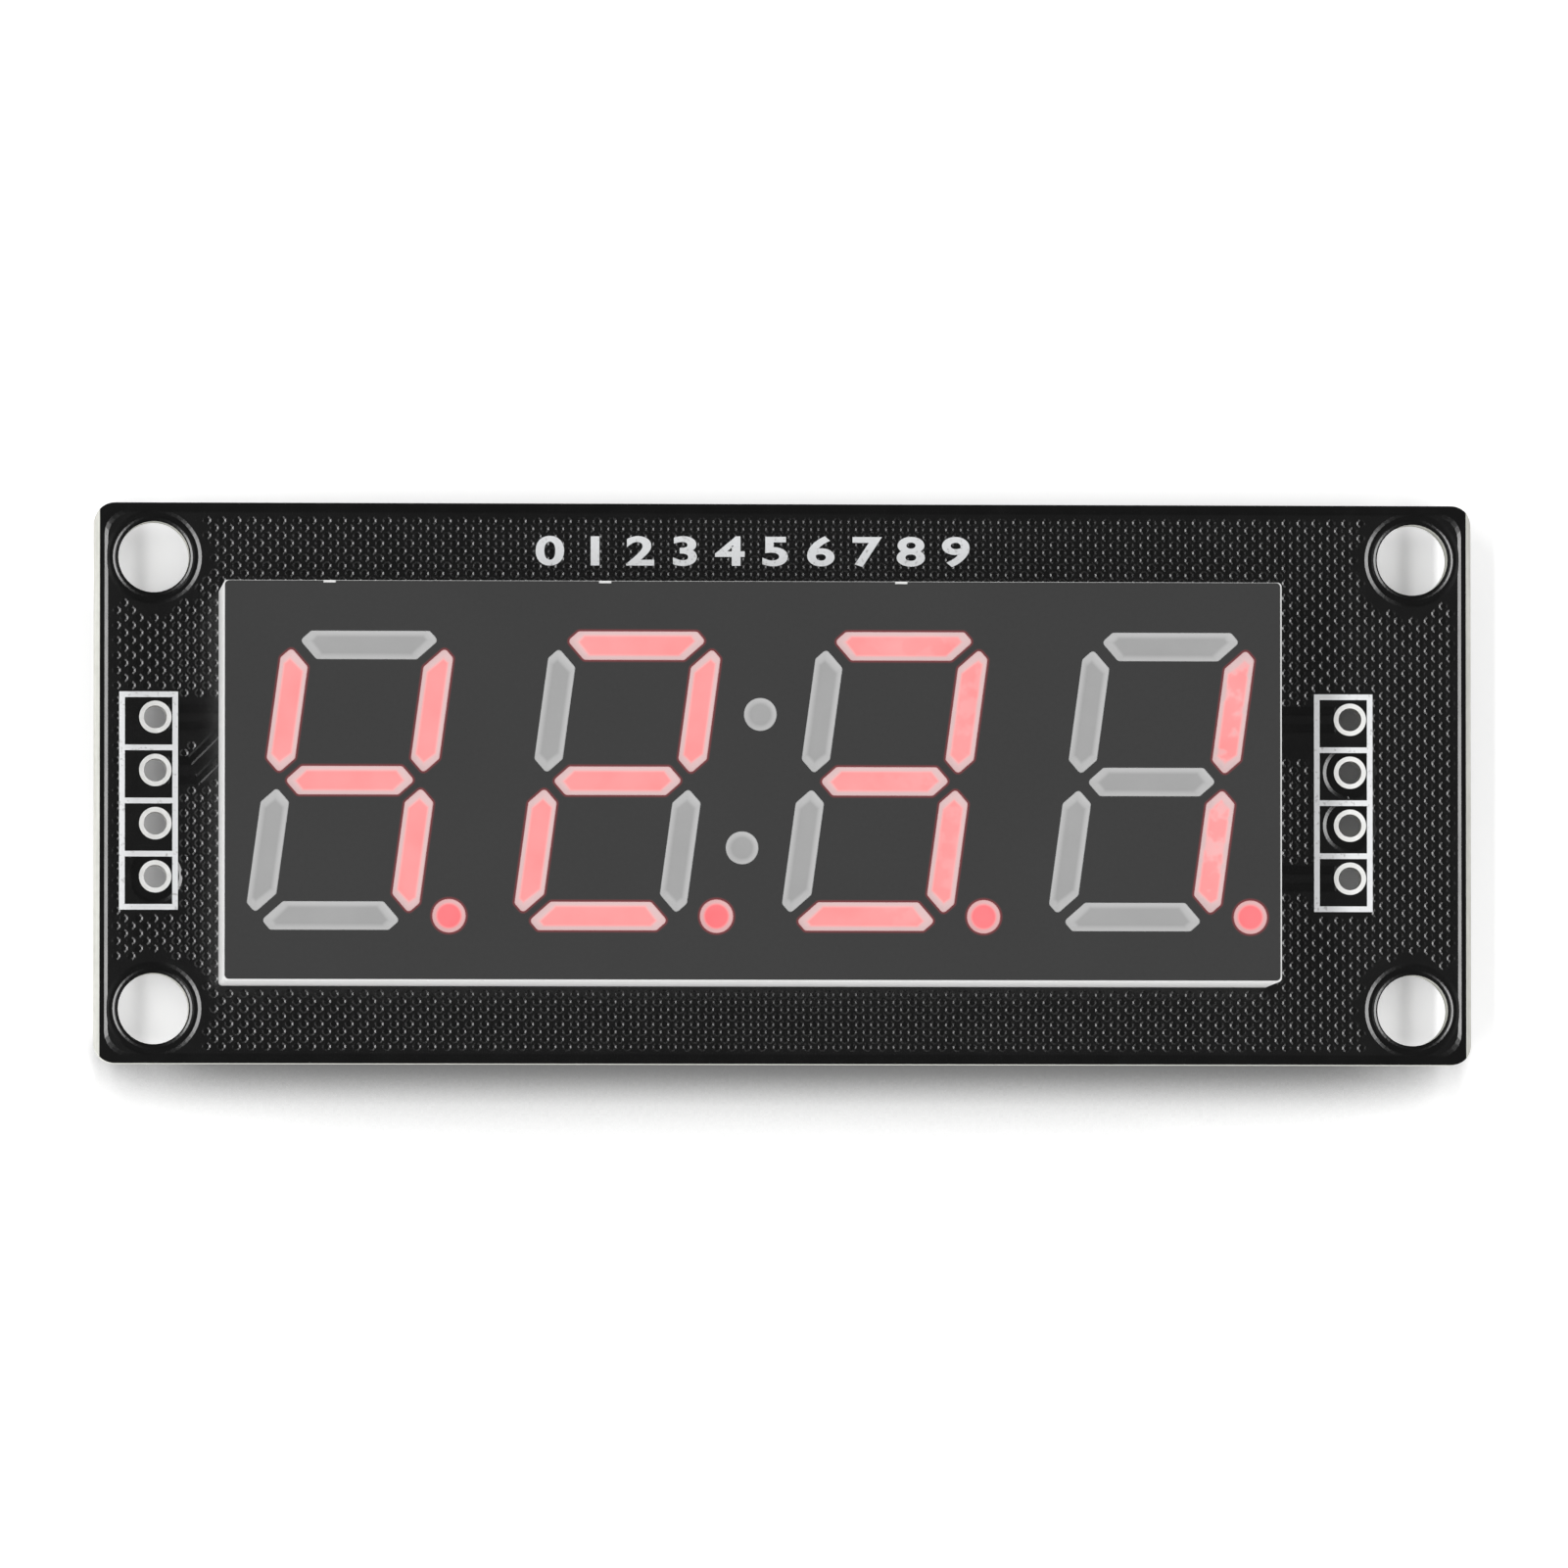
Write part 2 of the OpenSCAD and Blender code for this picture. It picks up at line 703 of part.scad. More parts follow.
// Both rows of leads, in the chip's own upright frame
module chip_leads() {
    drop = chip_gap + chip_t / 2;
    for (x = row(lead_count, lead_pitch, 0), turn = [0, 180])
        rotate([0, 0, turn])
            translate([x - lead_w / 2, chip_w / 2, 0])
                rotate([90, 0, 90])
                    linear_extrude(lead_w) lead_profile(drop);
}

module driver_chip_body() {
    color([0.16, 0.16, 0.17]) under_board(chip_x, display_y) difference() {
        translate([0, 0, chip_gap]) moulded_block(chip_l, chip_w, chip_t, chip_draft);
        translate([-chip_l / 2 + dimple_in, -chip_w / 2 + dimple_in, chip_gap + chip_t - dimple_depth])
            cylinder(h = dimple_depth + cut, d = dimple_d);
        chip_leads();
    }
}

module driver_chip_leads() {
    color([0.8, 0.81, 0.8]) under_board(chip_x, display_y) chip_leads();
}

// The ceramic block of a resistor or capacitor, between its end caps
module part_block(spot, h) {
    under_board(spot[0], spot[1])
        translate([0, 0, end_cap_t])
            translate([-part_l / 2 + end_cap_t, -part_w / 2 + end_cap_t, 0])
                cube([part_l - 2 * end_cap_t, part_w - 2 * end_cap_t, h - 2 * end_cap_t]);
}

module pull_up_resistor(n) {
    color([0.2, 0.2, 0.22]) part_block(resistor_spot(n), resistor_h);
}

module supply_capacitor(n) {
    color([0.72, 0.6, 0.45]) part_block(capacitor_spot(n), capacitor_h);
}

// Two cups that close over the ends of a ceramic block
module end_caps(spot, h) {
    difference() {
        under_board(spot[0], spot[1])
            for (side = [-1, 1])
                translate([side * (part_l - end_cap_l) / 2, 0, h / 2])
                    cube([end_cap_l, part_w, h], center = true);
        part_block(spot, h);
    }
}

module small_part_end_caps() {
    color([0.8, 0.81, 0.8]) {
        for (n = RESISTORS) end_caps(resistor_spot(n), resistor_h);
        for (n = CAPACITORS) end_caps(capacitor_spot(n), capacitor_h);
    }
}

circuit_board();
header_pads(left_header_x);  // left_header_pads
header_pads(right_header_x);  // right_header_pads
display_pin_pads();
component_pads();
front_print();
back_print();
display_housing();
display_face();
for (d = DIGITS, s = SEGMENTS)
    light_segment(d, s);
for (d = DIGITS)
    decimal_point(d);
colon_dot(1);  // colon_upper_dot
colon_dot(-1);  // colon_lower_dot
light_board();
light_chips();
display_pins(upper_pin_y);  // upper_display_pins
display_pins(lower_pin_y);  // lower_display_pins
display_pin_solder();
driver_chip_body();
driver_chip_leads();
for (n = RESISTORS)
    pull_up_resistor(n);
for (n = CAPACITORS)
    supply_capacitor(n);
small_part_end_caps();
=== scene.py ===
import json
import math

import bmesh
import bpy
from mathutils import Matrix, Vector


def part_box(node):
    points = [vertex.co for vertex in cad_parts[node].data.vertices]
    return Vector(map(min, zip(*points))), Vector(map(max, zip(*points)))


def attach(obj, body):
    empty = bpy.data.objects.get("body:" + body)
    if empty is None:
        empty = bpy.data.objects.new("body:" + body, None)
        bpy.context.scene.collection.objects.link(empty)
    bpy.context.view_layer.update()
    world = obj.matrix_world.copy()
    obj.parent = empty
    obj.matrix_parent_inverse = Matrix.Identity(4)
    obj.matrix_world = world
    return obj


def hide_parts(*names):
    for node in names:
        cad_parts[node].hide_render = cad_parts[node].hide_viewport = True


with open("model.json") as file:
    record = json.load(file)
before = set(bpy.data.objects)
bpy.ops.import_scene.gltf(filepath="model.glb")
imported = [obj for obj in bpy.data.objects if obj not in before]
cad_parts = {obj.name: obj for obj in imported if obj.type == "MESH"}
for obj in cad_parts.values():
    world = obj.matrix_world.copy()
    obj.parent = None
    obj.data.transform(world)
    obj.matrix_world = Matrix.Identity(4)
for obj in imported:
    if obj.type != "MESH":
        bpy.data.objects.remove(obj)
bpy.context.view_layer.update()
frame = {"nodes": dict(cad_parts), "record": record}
parts = frame["nodes"]
MM = 0.001

# Boxes and faces that the scene's own pieces are laid on
board_low, board_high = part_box("circuit_board")
display_low, display_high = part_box("display_housing")
BOARD_BACK = board_low.z
BOARD_FRONT = board_high.z
FACE_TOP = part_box("display_face")[1].z

# Holes of the board, at the places that the part's source gives them
SCREW_HOLE_X = 30.15 * MM
SCREW_HOLE_Y = 10.8 * MM
SCREW_HOLES = [Vector((x * SCREW_HOLE_X, y * SCREW_HOLE_Y)) for x in (-1, 1) for y in (-1, 1)]
HEADER_COLUMNS = (-30.07 * MM, 27.15 * MM)
HEADER_NEAREST = -4.48 * MM
HEADER_PITCH = 2.54 * MM
HEADER_HOLES = [
    Vector((x, HEADER_NEAREST + row * HEADER_PITCH)) for x in HEADER_COLUMNS for row in range(4)
]
HEADER_HOLE_R = 0.55 * MM

# The masked copper: how thick it is, how wide its sloping edges are and how far inside the board it ends
POUR_T = 0.027 * MM
POUR_SUNK = POUR_T / 2
POUR_SLOPE = 0.16 * MM
POUR_INSET_X = 0.5 * MM
POUR_INSET_Y = 0.35 * MM
POUR_CORNER = 0.8 * MM
TRACK_SLOPE = 0.088 * MM
BEND_CLOSING = 0.45

# The hatch: its cells, one window's place from the board's left and far edges, and the dished windows
HATCH_PITCH = 0.508 * MM
HATCH_STEP = HATCH_PITCH / math.sqrt(2)
HATCH_CELLS = 130
HATCH_FROM_LEFT = 1.06 * MM
HATCH_FROM_FAR = 0.85 * MM
STEPS_TO_MIDDLE = (90, -35)
WINDOW_SIDE = 0.35 * MM
WINDOW_BEVEL = 0.103 * MM
WINDOW_WALL = 0.084 * MM
WINDOW_DEPTH = 0.0136 * MM

# Clearances in the copper, and how far the middle of a window stays from them
TRACK_GAP = 0.3 * MM
PAD_GAP = 0.2 * MM
SCREW_CLEARANCE_R = 2.13 * MM
PIN_CLEARANCE_R = 1.1 * MM
PARTED_BORE_R = 1.14 * MM
HIDDEN_BORE_R = 0.63 * MM
WINDOW_TO_CLEARANCE = 0.25 * MM
WINDOW_TO_CHANNEL = 0.2 * MM
WINDOW_TO_SCREW_HOLE = 2.62 * MM

# Boxes in millimetres, from x to x and from y to y: where windows may be, and where the front has none
HATCH_EXTENT = (-32.1, 32.1, -12.75, 12.75)
HEADER_PRINT = (-1.75, 1.15, -6.15, 4.6)
PLAIN_PLACES = ((23.9, 25.5, 1.3, 3.7), (-28.9, -27.0, 2.0, 4.1))
UNDER_DISPLAY = (-27.2, 23.4, -9.9, 9.5)

# The ridge of mask round a screw hole, and the printed numerals
COLLAR_R = 1.86 * MM
COLLAR_HALF_W = 0.1 * MM
COLLAR_FLATTENING = 0.17
NUMERALS_SIZE = 1.9 * MM
NUMERALS_LENGTH = 20.8 * MM
NUMERALS_MIDDLE = (-1.49 * MM, 10.49 * MM)
STROKE_GROWTH = 0.05 * MM
INK_HALF_T = 0.015 * MM

# The tops of the lights: two rings round the core, a paler rim and a core painted darker as shade of its
# depth, and the band of the dark face where their glow is painted red into its colour
RIM_WIDTH = 0.17 * MM
RIM_FADE = 0.14 * MM
RIM_STEP = 0.6
CORE_SHORTER = 0.93
CORE_MERGE = 0.06 * MM
LEAN = math.tan(math.radians(7.8))
PAINTED_GLOW_BAND = 0.13 * MM

LIT = {1: "bcfg", 2: "abdeg", 3: "abcdg", 4: "bc"}
DIGITS = (1, 2, 3, 4)


# Shader maths


class Signal:
    """A value in a material. Python's arithmetic on it adds Math nodes."""

    def __init__(self, paint, socket):
        self.paint = paint
        self.socket = socket

    def __add__(self, other):
        return self.paint.math("ADD", self, other)

    __radd__ = __add__

    def __mul__(self, other):
        return self.paint.math("MULTIPLY", self, other)

    __rmul__ = __mul__

    def __sub__(self, other):
        return self.paint.math("SUBTRACT", self, other)

    def __rsub__(self, other):
        return self.paint.math("SUBTRACT", other, self)

    def __neg__(self):
        return self.paint.math("MULTIPLY", self, -1.0)

    def __abs__(self):
        return self.paint.math("ABSOLUTE", self)

    def __gt__(self, other):
        return self.paint.math("GREATER_THAN", self, other)

    def __lt__(self, other):
        return self.paint.math("LESS_THAN", self, other)


class Paint:
    """One material: its tree, its shader and the one way in which nodes are added."""

    def __init__(self, name, **constants):
        self.material = bpy.data.materials.new(name)
        self.material.use_nodes = True
        self.tree = self.material.node_tree
        self.shader = self.tree.nodes["Principled BSDF"]
        for socket, value in constants.items():
            self.shader.inputs[socket.replace("_", " ")].default_value = value

    def add(self, kind, settings=None, inputs=None, output=0):
        """A new node of a kind, with its settings and then the values or links of its sockets."""
        node = self.tree.nodes.new(kind)
        for setting, value in (settings or {}).items():
            setattr(node, setting, value)
        for socket, value in (inputs or {}).items():
            if isinstance(value, Signal):
                self.tree.links.new(value.socket, node.inputs[socket])
            else:
                node.inputs[socket].default_value = value
        return Signal(self, node.outputs[output])

    def math(self, operation, *values):
        return self.add("ShaderNodeMath", {"operation": operation}, dict(enumerate(values)))

    def smooth(self, value, low, high):
        """0 below low, 1 above high, eased between them."""
        return self.add(
            "ShaderNodeMapRange",
            {"interpolation_type": "SMOOTHSTEP"},
            {"Value": value, "From Min": low, "From Max": high},
        )

    def mix(self, factor, a, b):
        """Colour a where factor is 0 and colour b where it is 1."""
        return self.add("ShaderNodeMix", {"data_type": "RGBA"}, {0: factor, 6: a, 7: b}, 2)

    def place(self):
        """The point on the surface, in the frame that all pieces share."""
        return self.add("ShaderNodeTexCoord", output=3)

    def axes(self, vector):
        return [self.add("ShaderNodeSeparateXYZ", None, {0: vector}, n) for n in range(3)]

    def facing(self):
        """The way that the surface faces, as x, y and z."""
        return self.axes(self.add("ShaderNodeTexCoord", output=1))

    def stretched(self, scale):
        """The point on the surface with a scale for each axis, for grain that runs one way."""
        return self.add("ShaderNodeVectorMath", {"operation": "MULTIPLY"}, {0: self.place(), 1: scale})

    def noise(self, scale, detail=3.0, vector=None):
        return self.add(
            "ShaderNodeTexNoise",
            None,
            {"Vector": vector or self.place(), "Scale": scale, "Detail": detail},
        )

    def attribute(self, name):
        return self.add("ShaderNodeAttribute", {"attribute_name": name}, None, 2)

    def bump(self, height, distance):
        self.feed("Normal", self.add("ShaderNodeBump", None, {"Height": height, "Distance": distance}))

    def feed(self, socket, signal):
        self.tree.links.new(signal.socket, self.shader.inputs[socket])


def grey(value):
    return (value, value, value, 1.0)


# Finishes


def mask_ink(paint):
    """Gloss and fine ripple of black solder mask, and its colours over laminate and over copper."""
    ripple = paint.noise(900.0, 4.0)
    patches = paint.noise(120.0, 2.0)
    on_laminate = paint.mix(patches, grey(0.001), grey(0.002))
    on_copper = paint.mix(patches, grey(0.003), grey(0.006))
    return on_laminate, on_copper, 0.13 + 0.08 * ripple, ripple


def relief_mask():
    """Mask that lies over copper, and dips to the laminate where the copper stops."""
    paint = Paint("relief_mask", IOR=1.5)
    on_laminate, on_copper, roughness, ripple = mask_ink(paint)
    height = abs(paint.axes(paint.place())[2] - (BOARD_FRONT + BOARD_BACK) / 2)
    over = height - (BOARD_FRONT - BOARD_BACK) / 2
    over_copper = paint.smooth(over, 0.55 * POUR_T, 0.85 * POUR_T)
    paint.feed("Base Color", paint.mix(over_copper, on_laminate, on_copper))
    paint.feed("Roughness", roughness)
    paint.bump(ripple, 0.004 * MM)
    return paint.material


def board_mask():
    """Black mask on the faces, bare glass-fibre laminate on the edges and tin down the header holes."""
    paint = Paint("board_mask", IOR=1.5)
    colour, _, roughness, ripple = mask_ink(paint)
    x, y, _ = paint.axes(paint.place())
    on_edge = abs(paint.facing()[2]) < 0.72
    layers = paint.noise(1.0, 3.0, paint.stretched((300.0, 300.0, 5200.0)))
    fibres = paint.noise(2600.0, 3.0)
    laminate = paint.mix(
        0.6 * layers + 0.4 * fibres, (0.46, 0.46, 0.41, 1.0), (0.84, 0.84, 0.79, 1.0)
    )
    near_column = [abs(x - column) < 1.2 * HEADER_HOLE_R for column in HEADER_COLUMNS]
    in_hole = on_edge * (near_column[0] + near_column[1]) * (abs(y) < 8 * MM)
    edge_colour = paint.mix(in_hole, laminate, (0.72, 0.71, 0.68, 1.0))
    paint.feed("Base Color", paint.mix(on_edge, colour, edge_colour))
    paint.feed("Metallic", in_hole)
    paint.feed("Roughness", roughness + on_edge * (0.5 - 0.25 * in_hole))
    paint.bump(ripple + on_edge * fibres, 0.004 * MM)
    return paint.material


def tinned_copper():
    """Hot-levelled tin: domed, a little uneven, paler where it is thick."""
    paint = Paint("tinned_copper", Metallic=0.55)
    pools = paint.noise(1500.0, 2.0)
    grain = paint.noise(9000.0, 3.0)
    paint.feed("Base Color", paint.mix(pools, (0.62, 0.62, 0.6, 1.0), (0.82, 0.82, 0.81, 1.0)))
    paint.feed("Roughness", 0.38 + 0.2 * grain)
    paint.bump(pools, 0.02 * MM)
    return paint.material


def white_print():
    """Screen-printed ink, thin enough to let a few dark pores through."""
    paint = Paint("white_print", Roughness=0.6)
    pores = paint.smooth(paint.noise(5200.0, 3.0), 0.28, 0.42)
    paint.feed("Base Color", paint.mix(pores, grey(0.5), (0.76, 0.77, 0.78, 1.0)))
    paint.bump(pores, 0.006 * MM)
    return paint.material


def white_housing():
    """Moulded white plastic with a fine spark-eroded grain and faint flow marks."""
    paint = Paint("white_housing", IOR=1.5)
    grain = paint.noise(4200.0, 3.0)
    flow = paint.noise(1.0, 2.0, paint.stretched((90.0, 90.0, 420.0)))
    paint.feed("Base Color", paint.mix(flow, (0.74, 0.74, 0.735, 1.0), (0.84, 0.84, 0.835, 1.0)))
    paint.feed("Roughness", 0.38 + 0.2 * grain)
    paint.bump(grain, 0.006 * MM)
    return paint.material


def dark_face():
    """Grey film over the face, with a red glow painted into its colour on the rim next to the lit windows,
    for the light that spills from them.
    """
    paint = Paint("dark_face", IOR=1.45)
    grain = paint.noise(5200.0, 3.0)
    sheet = paint.noise(140.0, 2.0)
    film = paint.mix(0.7 * sheet + 0.3 * grain, grey(0.02), grey(0.028))
    glow = paint.attribute("glow")
    # Painted glow: the band round each lit window is coloured red, for light that spills from it
    paint.feed("Base Color", paint.mix(glow, film, (0.2, 0.03, 0.035, 1.0)))
    paint.feed("Roughness", 0.66 + 0.12 * grain)
    paint.bump(grain, 0.003 * MM)
    return paint.material


def resin(name, core, edge, shine=None, glow=0.0, clotted=False):
    """Cast resin with milky grain, paler towards the white wall of its funnel and with its core painted
    darker as shade of the funnel's depth, that may shine.

    Clotted resin has dim, milky patches towards the right end of the display.
    """
    paint = Paint(name, IOR=1.5, Emission_Strength=glow)
    cloud = paint.noise(420.0, 2.0)
    grain = paint.noise(6000.0, 2.0)
    rim = paint.attribute("rim")
    milk = 0.25 * cloud
    if glow:
        rim = paint.smooth(rim, 0.0, 0.8)
        lamp = (1 - 0.8 * rim) * (0.75 + 0.5 * cloud)
        if clotted:
            to_right = paint.smooth(paint.axes(paint.place())[0], 0.0, 18 * MM)
            clots = to_right * paint.smooth(paint.noise(1100.0, 2.0), 0.46, 0.6)
            milk = milk + 0.5 * clots
            lamp = (1 - 0.5 * clots) * lamp
        paint.feed("Emission Color", paint.mix(lamp, grey(0.0), shine))
    # Paler rim where the funnel's white wall shows through, and a darker core as painted shade of the
    # funnel's depth
    paint.feed("Base Color", paint.mix(rim, paint.mix(milk, core, edge), edge))
    paint.feed("Roughness", 0.34 + 0.16 * grain)
    paint.bump(grain, 0.003 * MM)
    return paint.material


def laminate():
    """Bare glass-fibre board with its weave."""
    paint = Paint("light_board_laminate", Roughness=0.55)
    weave = paint.noise(1.0, 2.0, paint.stretched((2400.0, 700.0, 2400.0)))
    paint.feed("Base Color", paint.mix(weave, (0.62, 0.58, 0.42, 1.0), (0.76, 0.72, 0.56, 1.0)))
    paint.bump(weave, 0.01 * MM)
    return paint.material


def light_crystal():
    """The small red crystal that makes the light."""
    paint = Paint("light_chip", Roughness=0.3)
    facets = paint.noise(7000.0, 1.0)
    paint.feed("Base Color", paint.mix(facets, (0.5, 0.12, 0.1, 1.0), (0.7, 0.22, 0.16, 1.0)))
    return paint.material


def drawn_metal(name, dark, pale):
    """Pins and leads with the fine lines of drawing or stamping along them."""
    paint = Paint(name, Metallic=1.0)
    lines = paint.noise(1.0, 3.0, paint.stretched((9000.0, 9000.0, 500.0)))
    stain = paint.noise(900.0, 2.0)
    paint.feed("Base Color", paint.mix(0.5 * lines + 0.5 * stain, dark, pale))
    paint.feed("Roughness", 0.24 + 0.22 * lines)
    paint.bump(lines, 0.004 * MM)
    return paint.material


def solder():
    """Bright solder with a dull frosting and a trace of amber flux at its foot."""
    paint = Paint("solder", Metallic=1.0)
    frost = paint.noise(2600.0, 4.0)
    flux = paint.smooth(paint.noise(500.0, 2.0), 0.55, 0.75)
    metal = paint.mix(frost, (0.5, 0.5, 0.49, 1.0), (0.82, 0.82, 0.8, 1.0))
    paint.feed("Base Color", paint.mix(0.3 * flux, metal, (0.6, 0.45, 0.2, 1.0)))
    paint.feed("Roughness", 0.14 + 0.3 * frost)
    paint.bump(frost, 0.012 * MM)
    return paint.material


def chip_moulding():
    """Black epoxy with a pebbled skin."""
    paint = Paint("chip_moulding", IOR=1.5)
    pebbles = paint.noise(6500.0, 4.0)
    filler = paint.smooth(paint.noise(14000.0, 2.0), 0.62, 0.72)
    paint.feed("Base Color", paint.mix(filler, grey(0.012), grey(0.035)))
    paint.feed("Roughness", 0.5 + 0.2 * pebbles)
    paint.bump(pebbles, 0.012 * MM)
    return paint.material


def resistor_ceramic():
    """White ceramic under a black glazed top, which faces away from the board."""
    paint = Paint("resistor_ceramic", IOR=1.5)
    away = -paint.facing()[2] > 0.8
    speckle = paint.noise(5200.0, 3.0)
    chalk = paint.mix(speckle, grey(0.6), grey(0.78))
    paint.feed("Base Color", paint.mix(away, chalk, grey(0.012)))
    paint.feed("Roughness", 0.6 - 0.3 * away + 0.1 * speckle)
    paint.bump(speckle, 0.005 * MM)
    return paint.material


def capacitor_ceramic():
    """Plain brown ceramic."""
    paint = Paint("capacitor_ceramic", IOR=1.5)
    speckle = paint.noise(5200.0, 3.0)
    paint.feed("Base Color", paint.mix(speckle, (0.34, 0.22, 0.12, 1.0), (0.5, 0.35, 0.2, 1.0)))
    paint.feed("Roughness", 0.45 + 0.2 * speckle)
    paint.bump(speckle, 0.005 * MM)
    return paint.material


FINISHES = {
    "solder_mask": board_mask(),
    "relief_mask": relief_mask(),
    "tinned_copper": tinned_copper(),
    "white_print": white_print(),
    "white_housing": white_housing(),
    "dark_face": dark_face(),
    "lit_resin": resin(
        "lit_resin",
        core=(0.62, 0.12, 0.12, 1.0),
        edge=(0.6, 0.46, 0.46, 1.0),
        shine=(1.0, 0.28, 0.28, 1.0),
        glow=0.5,
        clotted=True,
    ),
    "lit_point_resin": resin(
        "lit_point_resin",
        core=(0.62, 0.07, 0.08, 1.0),
        edge=(0.6, 0.4, 0.4, 1.0),
        shine=(1.0, 0.13, 0.15, 1.0),
        glow=0.5,
    ),
    "unlit_resin": resin("unlit_resin", core=grey(0.3), edge=grey(0.5)),
    "light_board_laminate": laminate(),
    "light_chip": light_crystal(),
    "pin_metal": drawn_metal("pin_metal", (0.55, 0.55, 0.53, 1.0), (0.82, 0.82, 0.8, 1.0)),
    "solder": solder(),
    "chip_moulding": chip_moulding(),
    "resistor_ceramic": resistor_ceramic(),
    "capacitor_ceramic": capacitor_ceramic(),
}


# Making pieces


def coat(piece, finish):
    piece.data.materials.clear()
    piece.data.materials.append(FINISHES[finish])


def mesh_object(name, shape):
    """Turns a bmesh into an object of the scene."""
    mesh = bpy.data.meshes.new(name)
    shape.to_mesh(mesh)
    shape.free()
    thing = bpy.data.objects.new(name, mesh)
    bpy.context.scene.collection.objects.link(thing)
    return thing


def finished(name, shape, finish, replaces=()):
    """Turns a bmesh into a piece of the module, at its place in the frame."""
    piece = mesh_object(name, shape)
    coat(piece, finish)
    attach(piece, "root")
    if replaces:
        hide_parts(*replaces)
    return piece


def merged_copy(node):
    """The mesh of a CAD node as a bmesh of joined, flat faces."""
    shape = bmesh.new()
    shape.from_mesh(parts[node].data)
    bmesh.ops.remove_doubles(shape, verts=shape.verts, dist=1e-7)
    for layer in list(shape.loops.layers.uv):
        shape.loops.layers.uv.remove(layer)
    for face in shape.faces:
        face.smooth = False
    return shape


def top_faces(shape, z):
    """The faces that look up at a height."""
    return [f for f in shape.faces if f.normal.z > 0.99 and abs(f.calc_center_median().z - z) < 1e-6]


def taper(slope, low, high):
    """How far a cutter's side leans out from its middle to its top, to leave an edge as wide as slope."""
    return slope / 2 * (high - low) / POUR_T


def tapered_disc(shape, centre, radius, low, high):
    """A cutter for a round clearance: wider at the top, so that the pour slopes down to it."""
    grow = taper(POUR_SLOPE, low, high)
    bmesh.ops.create_cone(
        shape,
        cap_ends=True,
        segments=48,
        radius1=radius - grow,
        radius2=radius + grow,
        depth=high - low,
        matrix=Matrix.Translation((centre.x, centre.y, (low + high) / 2)),
    )


def tapered_block(shape, middle, size, turn, low, high, grow):
    """An upright block with sloping sides; grow is how much wider its top is than its middle."""
    made = bmesh.ops.create_cube(shape, size=1.0)["verts"]
    for side, z in ((-1, low), (1, high)):
        level = [v for v in made if v.co.z * side > 0]
        bmesh.ops.scale(shape, verts=level, vec=(size[0] + 2 * side * grow, size[1] + 2 * side * grow, 0))
        bmesh.ops.translate(shape, verts=level, vec=(0, 0, z))
    place = Matrix.Translation((middle[0], middle[1], 0)) @ Matrix.Rotation(turn, 4, "Z")
    bmesh.ops.transform(shape, matrix=place, verts=made)


def stretch_block(shape, stretch, width, low, high, side):
    """A block along one straight stretch of a track: a channel where side is 1, a ridge where it is -1.

    It is long enough to close a bend of 45 degrees with the next stretch.
    """
    start, finish = stretch
    along = finish - start
    size = (along.length + BEND_CLOSING * width, width)
    turn = math.atan2(along.y, along.x)
    grow = side * taper(TRACK_SLOPE, low, high)
    tapered_block(shape, (start + finish) / 2, size, turn, low, high, grow)


def off_stretch(spot, stretch):
    """How far a spot lies from a straight stretch."""
    start, finish = stretch
    along = finish - start
    share = max(0.0, min(1.0, (spot - start).dot(along) / along.length_squared))
    return (start + share * along - spot).length


def carved(shape, steps):
    """The shape after boolean steps, each an operation and its cutter."""
    block = mesh_object("block", shape)
    cutters = []
    for operation, cutter_shape in steps:
        cutter = mesh_object("cutter", cutter_shape)
        cutters.append(cutter)
        step = block.modifiers.new("step", "BOOLEAN")
        step.operation = operation
        step.solver = "MANIFOLD"
        step.object = cutter
    cooked = block.evaluated_get(bpy.context.evaluated_depsgraph_get())
    result = bmesh.new()
    result.from_mesh(cooked.to_mesh())
    cooked.to_mesh_clear()
    for thing in [block, *cutters]:
        mesh = thing.data
        bpy.data.objects.remove(thing)
        bpy.data.meshes.remove(mesh)
    return result


# The hatched copper pour


def pour_outline(low, high):
    """A slab with rounded corners that ends a little inside the board."""
    slab = bmesh.new()
    middle = (board_low + board_high) / 2
    board = board_high - board_low
    size = (board.x - 2 * POUR_INSET_X, board.y - 2 * POUR_INSET_Y)
    tapered_block(slab, middle, size, 0, low, high, -taper(POUR_SLOPE, low, high))
    upright = [e for e in slab.edges if abs(e.verts[0].co.z - e.verts[1].co.z) > POUR_T]
    bmesh.ops.bevel(
        slab, geom=upright, offset=POUR_CORNER, segments=6, profile=0.5, affect="EDGES", material=-1
    )
    return slab


def hatch_grid(z):
    """Square cells, turned 45 degrees, that cover the board and end at its edges."""
    shape = bmesh.new()
    middle = Vector((board_low.x + HATCH_FROM_LEFT, board_high.y - HATCH_FROM_FAR, z))
    middle += Vector((STEPS_TO_MIDDLE[0] * HATCH_STEP, STEPS_TO_MIDDLE[1] * HATCH_STEP, 0))
    bmesh.ops.create_grid(
        shape,
        x_segments=HATCH_CELLS,
        y_segments=HATCH_CELLS,
        size=HATCH_CELLS * HATCH_PITCH / 2,
        matrix=Matrix.Translation(middle) @ Matrix.Rotation(math.radians(45), 4, "Z"),
    )
    for corner, ways in ((board_low, ((-1, 0, 0), (0, -1, 0))), (board_high, ((1, 0, 0), (0, 1, 0)))):
        for way in ways:
            bmesh.ops.bisect_plane(
                shape,
                geom=[*shape.verts, *shape.edges, *shape.faces],
                dist=1e-7,
                plane_co=corner,
                plane_no=way,
                clear_outer=True,
            )
    return shape


